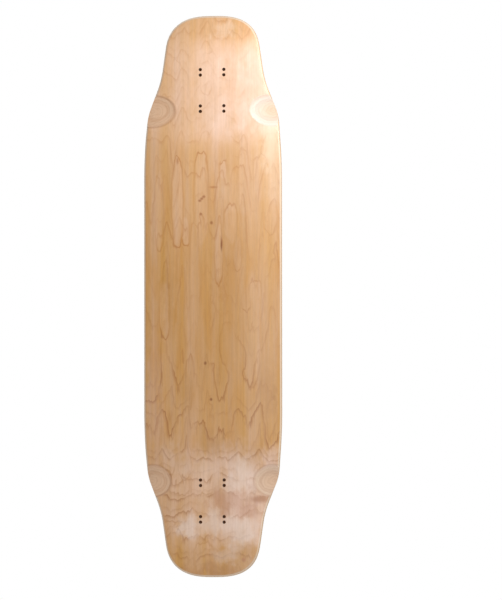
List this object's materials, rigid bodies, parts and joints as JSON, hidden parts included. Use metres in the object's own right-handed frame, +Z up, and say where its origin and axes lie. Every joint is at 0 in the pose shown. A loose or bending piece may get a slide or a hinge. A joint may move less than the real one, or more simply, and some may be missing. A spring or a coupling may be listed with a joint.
{
  "type": "skateboard deck",
  "caption": "Bare pressed maple longboard deck with raised rails, short kicks, truck bolt holes and sanded wheel wells.",
  "frame": {"origin": "on the underside, at the middle of the flat belly that the deck lies on", "axes": "+X along the deck towards the nose, +Y to the rider's left, +Z up out of the riding side"},
  "size_m": [0.978, 0.2414, 0.0321],
  "materials": {
    "bottom_face_maple": "clear satin lacquer over rotary-cut maple, grain along the deck",
    "top_face_maple": "clear satin lacquer over rotary-cut maple, grain along the deck",
    "long_grain_maple": "sanded edge, grain along the deck",
    "cross_grain_maple": "sanded edge, end grain towards the rails"
  },
  "bodies": {
    "root": {"top_face_veneer": "top_face_maple", "upper_long_veneer": "long_grain_maple", "upper_cross_veneer": "cross_grain_maple", "upper_core_veneer": "long_grain_maple", "centre_core_veneer": "long_grain_maple", "lower_core_veneer": "long_grain_maple", "lower_cross_veneer": "cross_grain_maple", "lower_long_veneer": "long_grain_maple", "bottom_face_veneer": "bottom_face_maple"}
  },
  "joints": []
}
